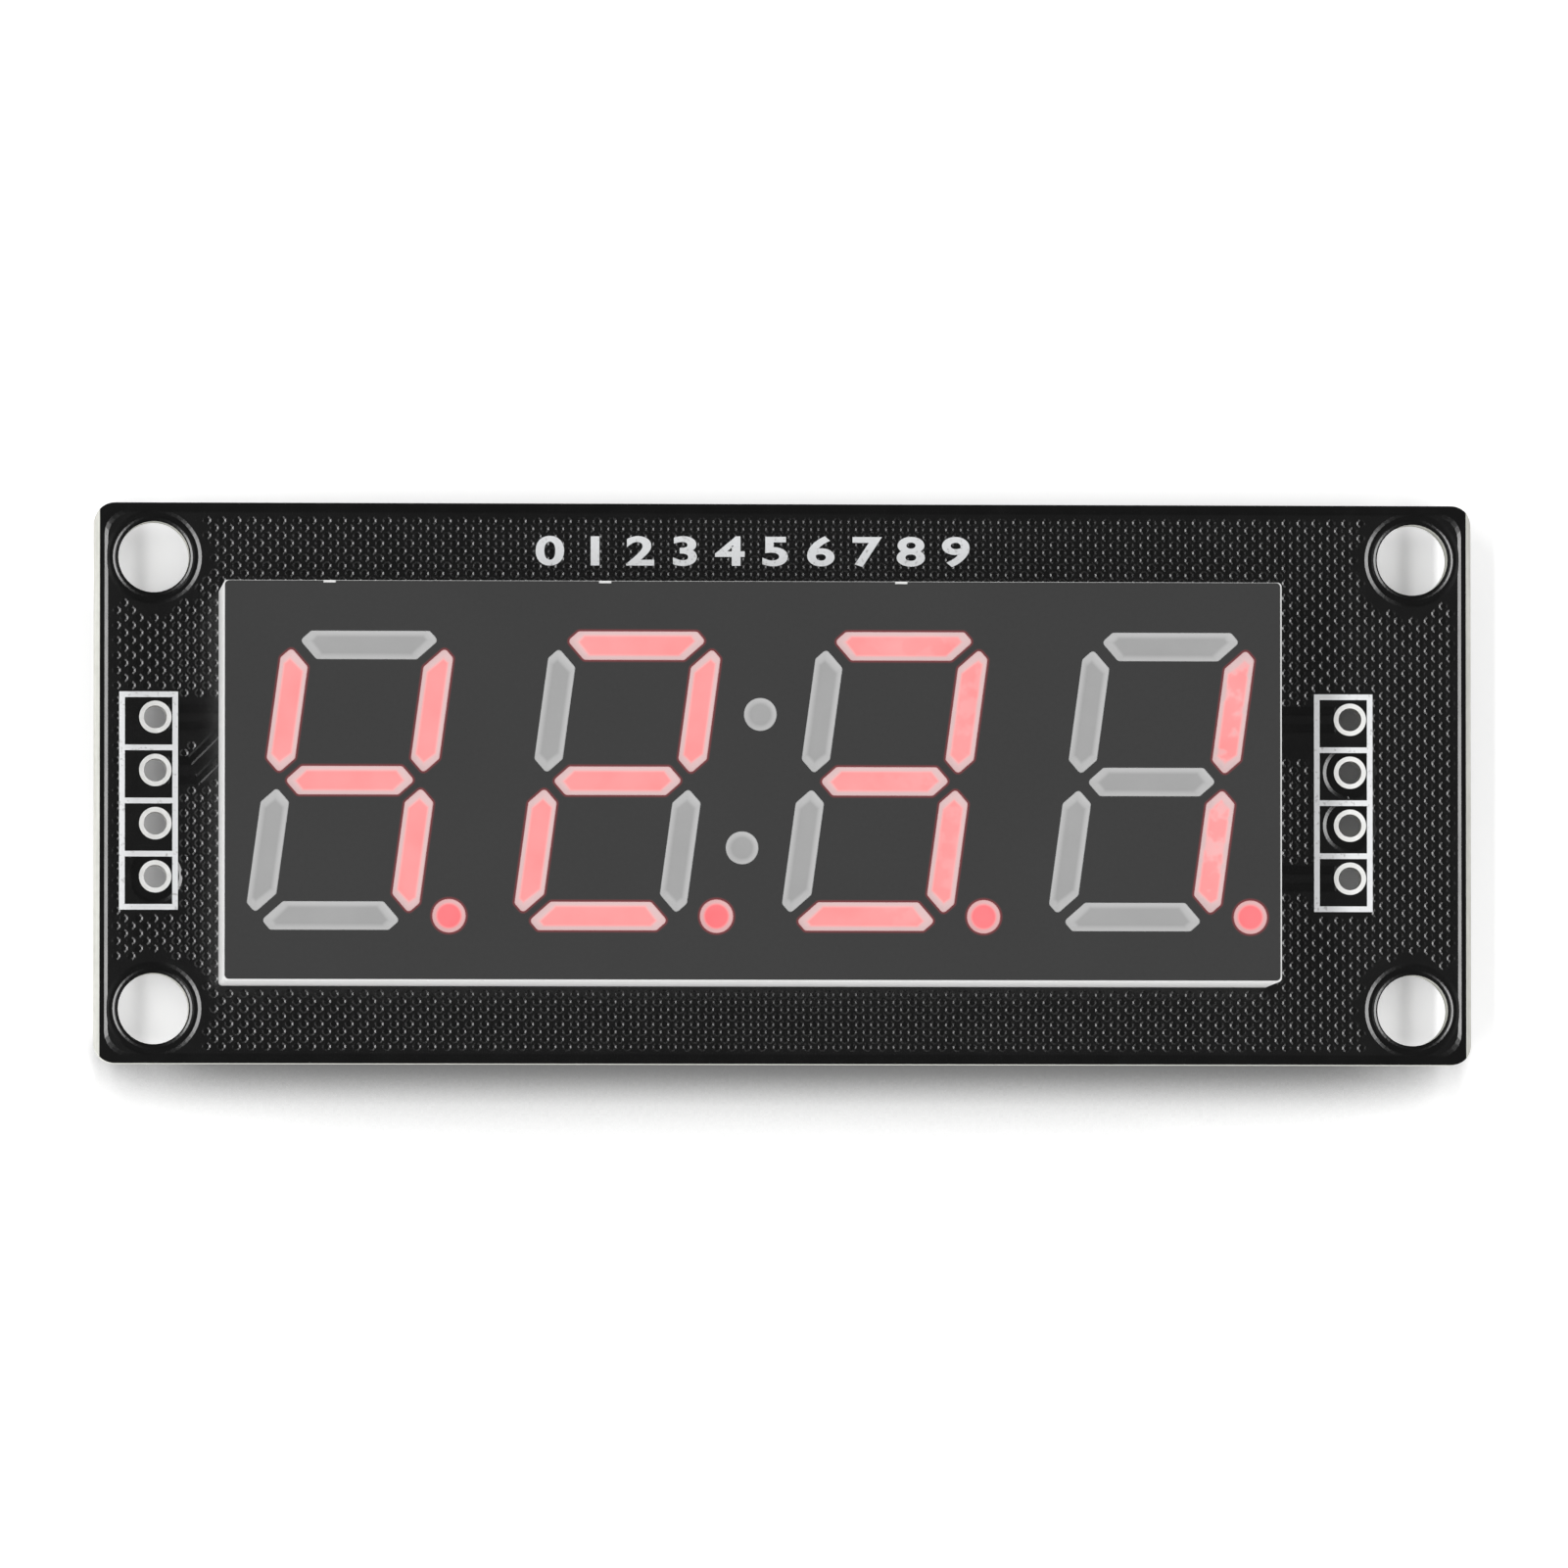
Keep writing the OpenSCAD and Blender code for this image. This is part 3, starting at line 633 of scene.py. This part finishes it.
def hatched_pour(name, face, up, has_window, discs, blocks, tracks):
    """A thin sheet of masked copper, with a small dished window in each whole cell of its hatch.

    The windows of the front have eight corners, and those of the hidden back stay square.
    """
    shape = hatch_grid(face + up * POUR_T)
    if up < 0:
        bmesh.ops.reverse_faces(shape, faces=shape.faces)
    whole = 0.99 * HATCH_PITCH**2
    windows = [
        f for f in shape.faces if f.calc_area() > whole and has_window(f.calc_center_median().to_2d())
    ]
    bmesh.ops.inset_individual(shape, faces=windows, thickness=(HATCH_PITCH - WINDOW_SIDE) / 2)
    if up > 0:
        bmesh.ops.bevel(
            shape,
            geom=list({v for f in windows for v in f.verts}),
            offset=WINDOW_BEVEL,
            segments=1,
            profile=0.5,
            affect="VERTICES",
            material=-1,
        )
        windows = [f for f in shape.faces if len(f.verts) == 8]
    bmesh.ops.inset_individual(shape, faces=windows, thickness=WINDOW_WALL, depth=-WINDOW_DEPTH)

    rim = [e for e in shape.edges if e.is_boundary]
    skirt = bmesh.ops.extrude_edge_only(shape, edges=rim)["geom"]
    foot = [v for v in skirt if isinstance(v, bmesh.types.BMVert)]
    bmesh.ops.translate(shape, verts=foot, vec=(0, 0, -up * (POUR_T + POUR_SUNK)))
    bmesh.ops.holes_fill(shape, edges=[e for e in shape.edges if e.is_boundary], sides=0)
    bmesh.ops.recalc_face_normals(shape, faces=shape.faces)

    # Clearances are made as they are seen from their own face, and those that may meet are cut apart
    reach = 3 * POUR_T
    steps = [("INTERSECT", pour_outline(-reach, reach))]
    for cuts, cutter in clearance_cutters(discs, blocks, tracks, reach):
        if cuts:
            steps.append(("DIFFERENCE", cutter))
    for _, cutter in steps:
        lay_on(cutter, face, up)
    return finished(name, carved(shape, steps), "relief_mask")


def clearance_cutters(discs, blocks, tracks, reach):
    """Pairs of a count and a cutter: round clearances, square ones and two sets of track channels."""
    cutters = [bmesh.new() for _ in range(4)]
    for centre, radius in discs:
        tapered_disc(cutters[0], centre, radius, -reach, reach)
    for middle, size in blocks:
        tapered_block(cutters[1], middle, size, 0, -reach, reach, 0)
    for width, stretches in tracks:
        for place, stretch in enumerate(stretches):
            stretch_block(cutters[2 + place % 2], stretch, width + 2 * TRACK_GAP, -reach, reach, 1)
    return [(len(cutter.verts), cutter) for cutter in cutters]


def lay_on(shape, face, up):
    """Moves a shape from the height of nought to a face of the board, turned over for the back."""
    bmesh.ops.scale(shape, verts=shape.verts, vec=(1, 1, up))
    bmesh.ops.translate(shape, verts=shape.verts, vec=(0, 0, face))
    if up < 0:
        bmesh.ops.reverse_faces(shape, faces=shape.faces)


def track_ridges(name, face, up, tracks):
    """Masked copper tracks, each stretch a low ridge with sloping sides, joined at the bends."""
    odd, even = bmesh.new(), bmesh.new()
    for width, stretches in tracks:
        for place, stretch in enumerate(stretches):
            block = even if place % 2 else odd
            stretch_block(block, stretch, width, -POUR_SUNK, POUR_T, -1)
    lay_on(odd, face, up)
    lay_on(even, face, up)
    return finished(name, carved(odd, [("UNION", even)]), "relief_mask")


def track(width, *places):
    """A track's width and its straight stretches, from the corners it passes in millimetres."""
    corners = [Vector(place) * MM for place in places]
    return width * MM, list(zip(corners, corners[1:]))


def near_track(spot, tracks):
    reach = TRACK_GAP + WINDOW_TO_CHANNEL
    return any(
        off_stretch(spot, stretch) < width / 2 + reach for width, stretches in tracks for stretch in stretches
    )


def near_disc(spot, discs):
    return any((spot - centre).length < radius + WINDOW_TO_CLEARANCE for centre, radius in discs)


def near_block(spot, blocks):
    return any(
        abs(spot.x - middle.x) < size.x / 2 + WINDOW_TO_CLEARANCE
        and abs(spot.y - middle.y) < size.y / 2 + WINDOW_TO_CLEARANCE
        for middle, size in blocks
    )


def in_box(spot, x0, x1, y0, y1):
    return x0 * MM < spot.x < x1 * MM and y0 * MM < spot.y < y1 * MM


def in_pour(spot):
    """Whether a window here stays clear of the pour's edge and of the screw holes."""
    return in_box(spot, *HATCH_EXTENT) and all(
        (spot - hole).length > WINDOW_TO_SCREW_HOLE for hole in SCREW_HOLES
    )


def bore_discs(parted):
    """The clearances of the header holes: hidden under the tinned ring, or wide where the copper parts."""
    return [
        (hole, PARTED_BORE_R if number in parted else HIDDEN_BORE_R)
        for number, hole in enumerate(HEADER_HOLES)
    ]


SCREW_DISCS = [(hole, SCREW_CLEARANCE_R) for hole in SCREW_HOLES]
DISPLAY_BLOCK = (((display_low + display_high) / 2).to_2d(), (display_high - display_low).to_2d())
FRONT_TRACKS = [
    track(0.6, (-29.1, 0.6), (-28.22, 0.6), (-26.6, 2.22)),
    track(0.5, (-29.1, 3.14), (-26.6, 3.14)),
    track(0.5, (26.15, 3.14), (22.8, 3.14)),
    track(0.5, (26.15, -4.48), (22.8, -4.48)),
]


def front_window(spot):
    """Whether the front shows a window of the hatch here."""
    if not in_pour(spot) or near_track(spot, FRONT_TRACKS):
        return False
    in_print = any(in_box(spot - Vector((column, 0)), *HEADER_PRINT) for column in HEADER_COLUMNS)
    in_plain = any(in_box(spot, *place) for place in PLAIN_PLACES)
    return not (in_print or in_plain or in_box(spot, *UNDER_DISPLAY))


def front_copper():
    discs = SCREW_DISCS + bore_discs(parted=(0, 5, 6))
    hatched_pour(
        "front_copper_pour", BOARD_FRONT, 1, front_window, discs, [DISPLAY_BLOCK], FRONT_TRACKS
    )
    track_ridges("front_tracks", BOARD_FRONT, 1, FRONT_TRACKS)


def back_tracks():
    """Tracks from the display's pins and the headers to the driver chip and the small parts."""
    tracks = []
    pin_y, foot_y, middle_y = 7.62, 4.75, -0.2
    for side in (1, -1):
        for x in (-5.645, -3.105, -0.565, 1.975, 4.515):
            tracks.append(
                track(0.3, (x, middle_y + side * (foot_y + 0.3)), (x, middle_y + side * (pin_y - 0.6)))
            )
        bend = middle_y + side * 5.7
        tracks.append(
            track(
                0.3, (-6.915, middle_y + side * (foot_y + 0.3)), (-6.915, bend), (-8.15, bend + side * 1.235)
            )
        )
    tracks += [
        track(0.3, (-29.3, 3.14), (-5.21, 3.14), (-4.375, 3.975)),
        track(0.3, (-29.3, 0.6), (-4.2, 0.6), (-1.835, 2.965), (-1.835, 4.1)),
        track(0.3, (-29.3, -1.94), (-6.035, -1.94), (-4.375, -3.6), (-4.375, -4.5)),
        track(0.3, (3.245, 4.1), (3.245, 3.245), (4.49, 2.0), (8.1, 2.0)),
        track(0.3, (0.705, 4.1), (0.705, 2.0), (2.905, -0.2), (8.1, -0.2)),
        track(0.3, (3.245, -4.5), (3.245, -3.6), (4.445, -2.4), (8.1, -2.4)),
        track(0.3, (26.4, 3.14), (10.96, 3.14), (9.9, 4.2)),
        track(0.3, (26.4, 0.6), (11.3, 0.6), (9.9, 2.0)),
        track(0.3, (26.4, -1.94), (10.36, -1.94), (9.9, -2.4)),
    ]
    return tracks


def loose_boxes(node):
    """The boxes of the separate solids in a CAD node."""
    shape = merged_copy(node)
    left = set(shape.verts)
    boxes = []
    while left:
        found = [left.pop()]
        for vert in found:
            near = {edge.other_vert(vert) for edge in vert.link_edges} & left
            left -= near
            found.extend(near)
        axes = list(zip(*(vert.co for vert in found)))
        boxes.append((Vector(map(min, axes)), Vector(map(max, axes))))
    shape.free()
    return boxes


def back_copper():
    blocks = [
        (((low + high) / 2).to_2d(), (high - low).to_2d() + Vector((2, 2)) * PAD_GAP)
        for low, high in loose_boxes("component_pads")
    ]
    pins = [
        (((low + high) / 2).to_2d(), PIN_CLEARANCE_R) for low, high in loose_boxes("display_pin_pads")
    ]
    discs = SCREW_DISCS + bore_discs(parted=(1, 2, 3, 5, 6, 7)) + pins
    tracks = back_tracks()

    def back_window(spot):
        """Whether the back shows a window of the hatch here."""
        return (
            in_pour(spot)
            and not near_disc(spot, discs)
            and not near_block(spot, blocks)
            and not near_track(spot, tracks)
        )

    hatched_pour("back_copper_pour", BOARD_BACK, -1, back_window, discs, blocks, tracks)
    track_ridges("back_tracks", BOARD_BACK, -1, tracks)


def screw_hole_collars():
    """The mask stands up in a low round ridge round each screw hole, on both faces."""
    shape = bmesh.new()
    for hole in SCREW_HOLES:
        for face in (BOARD_FRONT, BOARD_BACK):
            upright = Matrix.Rotation(math.radians(90), 4, "X")
            squash = Matrix.Diagonal((1, 1, COLLAR_FLATTENING, 1))
            place = Matrix.Translation((hole.x + COLLAR_R, hole.y, face))
            ring = bmesh.ops.create_circle(
                shape, segments=4, radius=COLLAR_HALF_W, matrix=place @ squash @ upright
            )["verts"]
            edges = list({e for v in ring for e in v.link_edges})
            bmesh.ops.spin(
                shape,
                geom=ring + edges,
                cent=(hole.x, hole.y, 0),
                axis=(0, 0, 1),
                angle=math.radians(360),
                steps=48,
                use_merge=True,
            )
    bmesh.ops.remove_doubles(shape, verts=shape.verts, dist=1e-7)
    bmesh.ops.recalc_face_normals(shape, faces=shape.faces)
    finished("screw_hole_collars", shape, "relief_mask")


def printed_numerals():
    """One row of plain numbers, 0 to 9, printed over the display."""
    text = bpy.data.curves.new("numerals", "FONT")
    text.body = "0 1 2 3 4 5 6 7 8 9"
    text.size = NUMERALS_SIZE
    text.offset = STROKE_GROWTH
    text.align_x = "CENTER"
    text.extrude = INK_HALF_T
    text.resolution_u = 6
    holder = bpy.data.objects.new("numerals", text)
    bpy.context.scene.collection.objects.link(holder)
    cooked = holder.evaluated_get(bpy.context.evaluated_depsgraph_get())
    mesh = bpy.data.meshes.new_from_object(cooked)
    shape = bmesh.new()
    shape.from_mesh(mesh)
    bpy.data.objects.remove(holder)
    bpy.data.meshes.remove(mesh)
    bmesh.ops.remove_doubles(shape, verts=shape.verts, dist=1e-7)
    spread = NUMERALS_LENGTH / (max(v.co.x for v in shape.verts) - min(v.co.x for v in shape.verts))
    bmesh.ops.scale(shape, verts=shape.verts, vec=(spread, 1, 1))
    place = (*NUMERALS_MIDDLE, BOARD_FRONT + 2 * INK_HALF_T)
    bmesh.ops.translate(shape, verts=shape.verts, vec=place)
    finished("printed_numerals", shape, "white_print")


front_copper()
back_copper()
screw_hole_collars()
printed_numerals()


# The lights and the dark face of the display


def shorter_core(shape, core, node):
    """Draws the ends of a segment's core in, because its funnel slopes most at its ends."""
    low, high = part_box(node)
    upright = Matrix.Identity(4)
    upright[0][1] = -LEAN
    is_side = node[-1] in "bcef"
    bmesh.ops.scale(
        shape,
        verts=core,
        vec=(1, CORE_SHORTER, 1) if is_side else (CORE_SHORTER, 1, 1),
        space=upright @ Matrix.Translation(-(low + high) / 2),
    )


def light_pipe(node, lit):
    """A cast light with its top parted into a core and a paler rim, where its funnel's wall shows, the core
    being painted darker as shade of the funnel's depth.
    """
    shape = merged_copy(node)
    bmesh.ops.dissolve_limit(
        shape, angle_limit=math.radians(0.5), verts=shape.verts, edges=shape.edges
    )
    rim = shape.verts.layers.float.new("rim")
    for vert in shape.verts:
        vert[rim] = 1.0
    top = max(v.co.z for v in shape.verts)
    tops = top_faces(shape, top)
    bmesh.ops.inset_region(shape, faces=tops, thickness=RIM_WIDTH, use_even_offset=True)
    core = list({v for f in tops for v in f.verts})
    for vert in core:
        vert[rim] = RIM_STEP
    if "segment" in node:
        shorter_core(shape, core, node)
    bmesh.ops.remove_doubles(shape, verts=core, dist=CORE_MERGE)
    tops = [f for f in top_faces(shape, top) if all(v[rim] < 1 for v in f.verts)]
    bmesh.ops.inset_region(shape, faces=tops, thickness=RIM_FADE, use_even_offset=True)
    for vert in {v for f in tops for v in f.verts}:
        vert[rim] = 0.0
    slot = "lit_resin" if lit else "unlit_resin"
    finish = "lit_point_resin" if "decimal" in node else slot
    return finished(node + "_light", shape, finish, replaces=[node])


def window_rims(nodes):
    """Where the tops of these lights meet their windows, as rounded places."""
    places = set()
    for node in nodes:
        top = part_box(node)[1].z
        for vert in parts[node].data.vertices:
            if abs(vert.co.z - top) < 1e-6:
                places.add((round(vert.co.x, 6), round(vert.co.y, 6)))
    return places


def face_film(lit_nodes):
    """The dark face, with a narrow band round each window where the glow of a lit one is painted into its
    colour.
    """
    shape = merged_copy("display_face")
    glow = shape.verts.layers.float.new("glow")
    faces = top_faces(shape, FACE_TOP)
    bmesh.ops.inset_region(shape, faces=faces, thickness=PAINTED_GLOW_BAND, use_even_offset=True)
    lit_rims = window_rims(lit_nodes)
    for vert in shape.verts:
        spot = (round(vert.co.x, 6), round(vert.co.y, 6))
        vert[glow] = 1.0 if spot in lit_rims else 0.0
    return finished("display_face_film", shape, "dark_face", replaces=["display_face"])


lit_nodes = []
for digit in DIGITS:
    for letter in "abcdefg":
        node = f"digit_{digit}_segment_{letter}"
        lit = letter in LIT[digit]
        light_pipe(node, lit)
        if lit:
            lit_nodes.append(node)
    node = f"digit_{digit}_decimal_point"
    light_pipe(node, True)
    lit_nodes.append(node)
for node in ("colon_upper_dot", "colon_lower_dot"):
    light_pipe(node, False)
face_film(lit_nodes)


# Finishes of the CAD pieces


SLOTS = {entry["node"]: entry["material_slot"] for entry in frame["record"]["subparts"]}
for node, slot in SLOTS.items():
    coat(parts[node], slot)


# Floor, light and camera


def studio_floor():
    """White paper that glows for the camera, with a shadow painted into its colour along the module's near
    edge.

    The glow fades far under the board as painted shade, so that its narrow holes look dark and its wide ones
    pale.
    """
    paint = Paint("studio_floor", Roughness=0.9, Specular_IOR_Level=0.0, Emission_Strength=1.0)
    paper = paint.noise(30.0, 2.0)
    sky = paint.add("ShaderNodeAmbientOcclusion", None, {"Distance": 20 * MM}, 1)
    open_sky = paint.smooth(sky, 0.5, 0.85)
    x, y, _ = paint.axes(paint.place())
    under_board = (abs(x) < board_high.x - 0.4 * MM) * (abs(y) < board_high.y - 0.4 * MM)
    past_ends = paint.smooth(abs(x), board_high.x - 0.4 * MM, board_high.x + 0.6 * MM)
    near_side = paint.smooth(-y, board_high.y - 2.1 * MM, board_high.y - 0.1 * MM)
    near_side = near_side * (1 - under_board) * (1 - past_ends)
    # Painted shadow: the paper's colour darkens where the board hides the sky, on the module's near side only
    painted_shadow = near_side * (1 - open_sky)
    white = paint.mix(paper, grey(0.93), grey(0.95))
    paint.feed("Base Color", paint.mix(painted_shadow, white, grey(0.3)))
    camera_ray, glossy_ray, transmission_ray = [
        paint.add("ShaderNodeLightPath", output=n) for n in (0, 3, 6)
    ]
    seen = paint.math("MAXIMUM", paint.math("MAXIMUM", camera_ray, glossy_ray), transmission_ray)
    # Painted shade: the glow is cut where the board hides the sky, and lowered along its near edge so that
    # the painted shadow shows
    glow = 0.32 * paint.smooth(sky, 0.08, 0.36) * (1 - near_side) + 0.1 * open_sky * near_side
    paint.feed("Emission Color", paint.mix(seen * glow, grey(0.0), grey(1.0)))
    shape = bmesh.new()
    bmesh.ops.create_grid(shape, x_segments=1, y_segments=1, size=2.0)
    floor = mesh_object("studio_floor", shape)
    floor.data.materials.append(paint.material)


def soft_box(name, place, size, power):
    """A lamp that faces the module; size is its length along the floor and its height."""
    lamp = bpy.data.lights.new(name, "AREA")
    lamp.shape = "RECTANGLE"
    lamp.size, lamp.size_y = size
    lamp.energy = power
    thing = bpy.data.objects.new(name, lamp)
    bpy.context.scene.collection.objects.link(thing)
    thing.location = place
    thing.rotation_euler = (-Vector(place)).to_track_quat("-Z", "Y").to_euler()


def studio_world(level):
    """An even, dim light from all round."""
    world = bpy.data.worlds.new("studio_world")
    bpy.context.scene.world = world
    world.use_nodes = True
    background = world.node_tree.nodes["Background"]
    background.inputs["Color"].default_value = grey(1.0)
    background.inputs["Strength"].default_value = level


VIEW_WIDTH = 75.0 * MM


def camera():
    """It stands a metre up, a little to the near left, where the photograph's view puts it."""
    lens = bpy.data.cameras.new("camera")
    thing = bpy.data.objects.new("camera", lens)
    bpy.context.scene.collection.objects.link(thing)
    place = Vector((-57.0, -43.0, 1034.0)) * MM
    target = Vector((0.0, 0.0, 4.1)) * MM
    thing.location = place
    back = (place - target).normalized()
    right = Vector((0, 1, 0)).cross(back).normalized()
    above = back.cross(right)
    thing.rotation_euler = Matrix((right, above, back)).transposed().to_euler()
    lens.lens = lens.sensor_width * (place - target).length / VIEW_WIDTH
    lens.clip_start = 0.05
    lens.clip_end = 10.0
    bpy.context.scene.camera = thing


studio_floor()
soft_box("left_soft_box", (-0.185, 0.0, 0.486), (0.6, 0.06), 1.5)
soft_box("right_soft_box", (0.238, 0.0, 0.463), (0.6, 0.06), 1.45)
soft_box("left_fill", (-0.54, 0.0, 0.115), (0.5, 0.1), 1.25)
soft_box("near_fill", (0.0, -0.54, 0.115), (0.5, 0.1), 1.2)
studio_world(0.125)
camera()
bpy.context.scene.view_settings.view_transform = "Standard"
